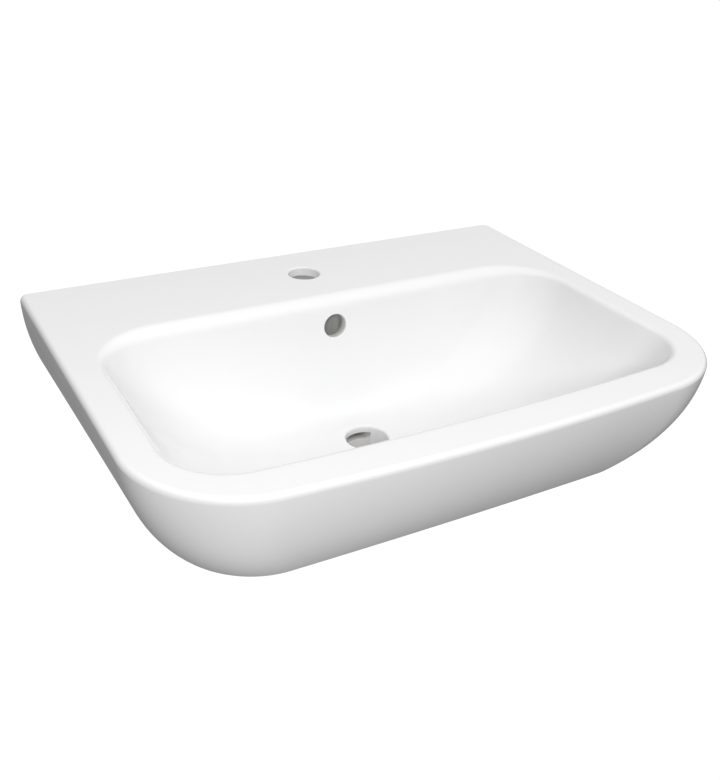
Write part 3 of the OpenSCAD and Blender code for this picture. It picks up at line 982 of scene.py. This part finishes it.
def hanger_bolt_tree():
    tree, (_, across, shank_y, room_pitch, room_core, wall_pitch, wall_core) = new_tree(
        "hanger_bolt", Across=0.0, ShankY=2 * MM, RoomPitch=1.5 * MM, RoomCore=4.15 * MM,
        WallPitch=4 * MM, WallCore=3.6 * MM)
    room = thread_half(tree, -BOLT_OUT, 1, shank_y + BOLT_OUT, room_pitch, room_core, **ROOM_HALF)
    wall = thread_half(tree, BOLT_IN, -1, BOLT_IN - shank_y, wall_pitch, wall_core, **WALL_HALF)
    joined = Value.node(tree, "GeometryNodeJoinGeometry", {}, {0: room})
    tree.links.new(wall.socket, joined.socket.node.inputs[0])
    merged = Value.node(tree, "GeometryNodeMergeByDistance", {}, {"Geometry": joined, "Distance": MERGE})
    x, y, z = split_position(tree)
    close_tree(tree, move_points(tree, merged, x + across, y, z), zinc)
    return tree


SIDES = {"left": -1, "right": 1}
bolt_tree = hanger_bolt_tree()
for side, sign in SIDES.items():
    bolt = mesh_object(side + "_bolt_threaded", [], [])
    run_tree(bolt_tree, bolt, Across=sign * FIXING_X)
    face_outwards(bolt)
    smooth(bolt, THREAD_SHARP)
    hand_in(bolt, side + "_hanger_bolt")

# %% [markdown]
# The wall plug is moulded in nylon. Rings of barbs grip the drilled hole, four ribs keep it from turning, and
# a slot along it lets the two halves spread when the bolt goes in. The plug is turned first, with its bore,
# and a tree then presses the barbs into its outside. The slot is cut last, because it goes through the wall
# of the plug.

# %% Wall plug
PLUG_R, PLUG_L, PLUG_BORE_R, PLUG_BORE_L = 7 * MM, 70 * MM, 5.1 * MM, 65.1 * MM
LIP_OUT_R, LIP_L, LIP_EDGE = 8 * MM, 2 * MM, 0.3 * MM
BODY_ALONG, BODY_STEP = (2.25 * MM, PLUG_L - 2.9 * MM), 0.25 * MM
NOSE_R, NOSE_POINTS, TIP_R = 3 * MM, 7, 0.4 * MM
BARBS_FROM_R = PLUG_R - 0.5 * MM
RIB_EDGE = (0.72, 0.88)
SLOT_HALF_W, SLOT_ALONG, SLOT_REACH = 0.8 * MM, (16 * MM, 58 * MM), 9 * MM


def plug_profile():
    bore = [(TIP_R, PLUG_BORE_L), (PLUG_BORE_R, PLUG_BORE_L), (PLUG_BORE_R, 0.0)]
    lip = [(LIP_OUT_R - LIP_EDGE, 0.0), (LIP_OUT_R, LIP_EDGE), (PLUG_R, LIP_L)]
    body = [(PLUG_R, y) for y in np.arange(*BODY_ALONG, BODY_STEP)]
    nose = [(PLUG_R - NOSE_R * (1 - math.cos(a)), PLUG_L - NOSE_R + NOSE_R * math.sin(a))
            for a in np.linspace(0, QUARTER, NOSE_POINTS)]
    return bore + lip + body + nose + [(TIP_R, PLUG_L)]


def barb_tree():
    tree, (geometry, across, begin, end, spacing, depth, ribs) = new_tree(
        "barbs", Across=0.0, Begin=7 * MM, End=62 * MM, Spacing=5 * MM, Depth=0.9 * MM, Ribs=4.0)
    x, y, z = split_position(tree)
    x = x - across
    radius = (x * x + z * z).math("SQRT")
    angle = z.math("ARCTAN2", x)
    outside = radius.math("GREATER_THAN", BARBS_FROM_R)
    within = y.math("GREATER_THAN", begin) * y.math("LESS_THAN", end)
    tooth = ((y - begin) / spacing).math("FRACT")
    rib = (angle * ribs).math("COSINE").between(*RIB_EDGE)
    pressed = 1.0 - outside * within * (1.0 - rib) * tooth * depth / radius
    close_tree(tree, move_points(tree, geometry, x * pressed + across, y, z * pressed), grey_nylon)
    return tree


def box_object(name, low, high):
    """A plain block, for cutting."""
    corners = [(x, y, z) for x in (low[0], high[0]) for y in (low[1], high[1]) for z in (low[2], high[2])]
    faces = [(0, 1, 3, 2), (4, 6, 7, 5), (0, 4, 5, 1), (2, 3, 7, 6), (0, 2, 6, 4), (1, 5, 7, 3)]
    made = mesh_object(name, corners, faces)
    face_outwards(made)
    return made


barbs = barb_tree()
for side, sign in SIDES.items():
    x = sign * FIXING_X
    plug = lathe(side + "_plug_barbed", plug_profile(), (x, 0, 0), (0, 1, 0))
    run_tree(barbs, plug, Across=x)
    slot_low = (x - SLOT_HALF_W, SLOT_ALONG[0], -SLOT_REACH)
    slot_high = (x + SLOT_HALF_W, SLOT_ALONG[1], SLOT_REACH)
    boolean(plug, box_object("slot", slot_low, slot_high), "DIFFERENCE")
    smooth(plug)
    hand_in(plug, side + "_wall_plug")

# %% [markdown]
# Bush, washer and nut are true in the CAD model already: turned rings, and a hexagon with its corners turned
# off. Their copies only need what every real piece has, edges that aren't razor sharp. The glTF file splits a
# mesh at its edges, so the copy is merged first, then its flat triangles are joined, and a Bevel modifier
# rounds the rest.

# %% Bush, washer and nut
SAME_POINT = 0.002 * MM
FLAT, BEVEL_FROM, COPY_SHARP = math.radians(0.5), math.radians(25), math.radians(30)
BEVEL_SEGMENTS = 3


def finished_copy(node, name, width, material):
    made = bpy.data.objects.new(name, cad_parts[node].data.copy())
    bpy.context.scene.collection.objects.link(made)
    work = bmesh.new()
    work.from_mesh(made.data)
    bmesh.ops.remove_doubles(work, verts=work.verts, dist=SAME_POINT)
    bmesh.ops.dissolve_limit(work, angle_limit=FLAT, verts=work.verts, edges=work.edges)
    work.to_mesh(made.data)
    work.free()
    edges = made.modifiers.new("edges", "BEVEL")
    edges.width = width
    edges.segments = BEVEL_SEGMENTS
    edges.limit_method = "ANGLE"
    edges.angle_limit = BEVEL_FROM
    apply_step(made, edges)
    face_outwards(made)
    smooth(made, COPY_SHARP)
    made.data.materials.clear()
    made.data.materials.append(material)
    return made


# For each piece: its copy's name, the width of its soft edge, its material and its slot.
FINISHES = {
    "fixing_bush": ("bush_moulded", 0.4 * MM, white_nylon, "white_nylon"),
    "washer": ("washer_pressed", 0.3 * MM, zinc, "zinc_steel"),
    "nut": ("nut_turned", 0.2 * MM, zinc, "zinc_steel"),
}
for side in SIDES:
    for piece, (label, width, material, slot) in FINISHES.items():
        made = finished_copy(side + "_" + piece, side + "_" + label, width, material)
        hand_in(made, side + "_" + piece)

# %% [markdown]
# The basin hangs in the photograph with nothing behind it but white, and no shadow falls anywhere. So the
# floor lies well below, and floor and room are plain white to the camera alone. The light on the china comes
# from the room around it, as from large soft cards. The strongest stand high and straight beneath, and of the
# others more are on the right than on the left. Each card is a power of the cosine of the angle to its
# middle, so that it fades out evenly. Beside the camera one small box lights the bowl straight on. It is left
# out of the reflections, because the glaze would show it as a hard bright patch, and the photograph has none.
# A far weaker one in the same place is mirrored, and draws the faint glints by which an eye knows the glaze.

# %% Floor and light
FLOOR_DROP, FLOOR_SIZE, FLOOR_ROUGH = 1.35, 30.0, 0.9
FLOOR_TONE = (0.62, 0.62, 0.62, 1)
WHITE_GLOW = 1.05
CARD_POWER = 5
CARDS = [(0, 60, 0.85), (60, 60, 0.28), (45, 30, 0.60), (90, 30, 0.52),
         (135, 30, 0.49), (150, -20, 0.37), (180, 60, 0.46), (-120, 60, 0.86),
         (-110, -20, 0.30), (-90, -35, 0.15), (0, -35, 0.43), (0, -80, 0.84)]
BOX_TURN, BOX_HEIGHT, BOX_DISTANCE, BOX_SIZE = -32, 29, 2.0, 0.4
BOX_POWER, GLINT_POWER = 13.5, 2.5


def way_to(turn, height):
    """A direction: turn counts from the front towards the right, and height from level, in degrees."""
    turn, height = math.radians(turn), math.radians(height)
    return Vector((math.sin(turn) * math.cos(height), -math.cos(turn) * math.cos(height), math.sin(height)))


def white_to_camera(tree, shade, output):
    """Lets the camera see plain white, where the light sees the given shade."""
    glow = Value.node(tree, "ShaderNodeEmission", {}, {"Strength": WHITE_GLOW})
    seen = Value.node(tree, "ShaderNodeLightPath", output="Is Camera Ray")
    choice = Value.node(tree, "ShaderNodeMixShader", {}, {0: seen, 1: Value(tree, shade), 2: glow})
    tree.links.new(choice.socket, tree.nodes[output].inputs["Surface"])


def make_floor():
    h = FLOOR_SIZE
    corners = [(-h, -h), (h, -h), (h, h), (-h, h)]
    floor = mesh_object("floor", [(x, y, -FLOOR_DROP) for x, y in corners], [[0, 1, 2, 3]])
    material, tree, shader = new_material("floor_paint", Base_Color=FLOOR_TONE, Roughness=FLOOR_ROUGH)
    white_to_camera(tree, shader.outputs[0], "Material Output")
    floor.data.materials.append(material)
    floor.visible_diffuse = False
    floor.visible_glossy = False


def make_room():
    world = bpy.data.worlds.new("room")
    bpy.context.scene.world = world
    world.use_nodes = True
    tree = world.node_tree
    shade = tree.nodes["Background"]
    way = Value.node(tree, "ShaderNodeTexCoord", output="Generated")
    light = 0.0
    for turn, height, strength in CARDS:
        facing = Value.node(tree, "ShaderNodeVectorMath", {"operation": "DOT_PRODUCT"},
                            {0: way, 1: way_to(turn, height)}, output="Value")
        light = light + facing.math("MAXIMUM", 0.0).math("POWER", CARD_POWER) * strength
    tree.links.new(light.socket, shade.inputs["Strength"])
    shade.inputs["Color"].default_value = (1.0, 1.0, 1.0, 1)
    white_to_camera(tree, shade.outputs[0], "World Output")


def soft_box(name, power, mirrored):
    """A square soft light beside the camera, aimed at the bowl, which the glaze mirrors or not."""
    lamp = bpy.data.lights.new(name, "AREA")
    lamp.size = BOX_SIZE
    lamp.energy = power
    light = bpy.data.objects.new(name, lamp)
    way = way_to(BOX_TURN, BOX_HEIGHT)
    light.location = Vector((0, WASTE_AT[1], 0)) + way * BOX_DISTANCE
    light.rotation_euler = (-way).to_track_quat("-Z", "Y").to_euler()
    light.visible_glossy = mirrored
    bpy.context.scene.collection.objects.link(light)


make_floor()
make_room()
print("light cards:", len(CARDS), "their strengths add up to", round(sum(card[2] for card in CARDS), 2))
soft_box("by_camera", BOX_POWER, mirrored=False)
soft_box("glints", GLINT_POWER, mirrored=True)
bpy.context.scene.view_settings.view_transform = "Standard"
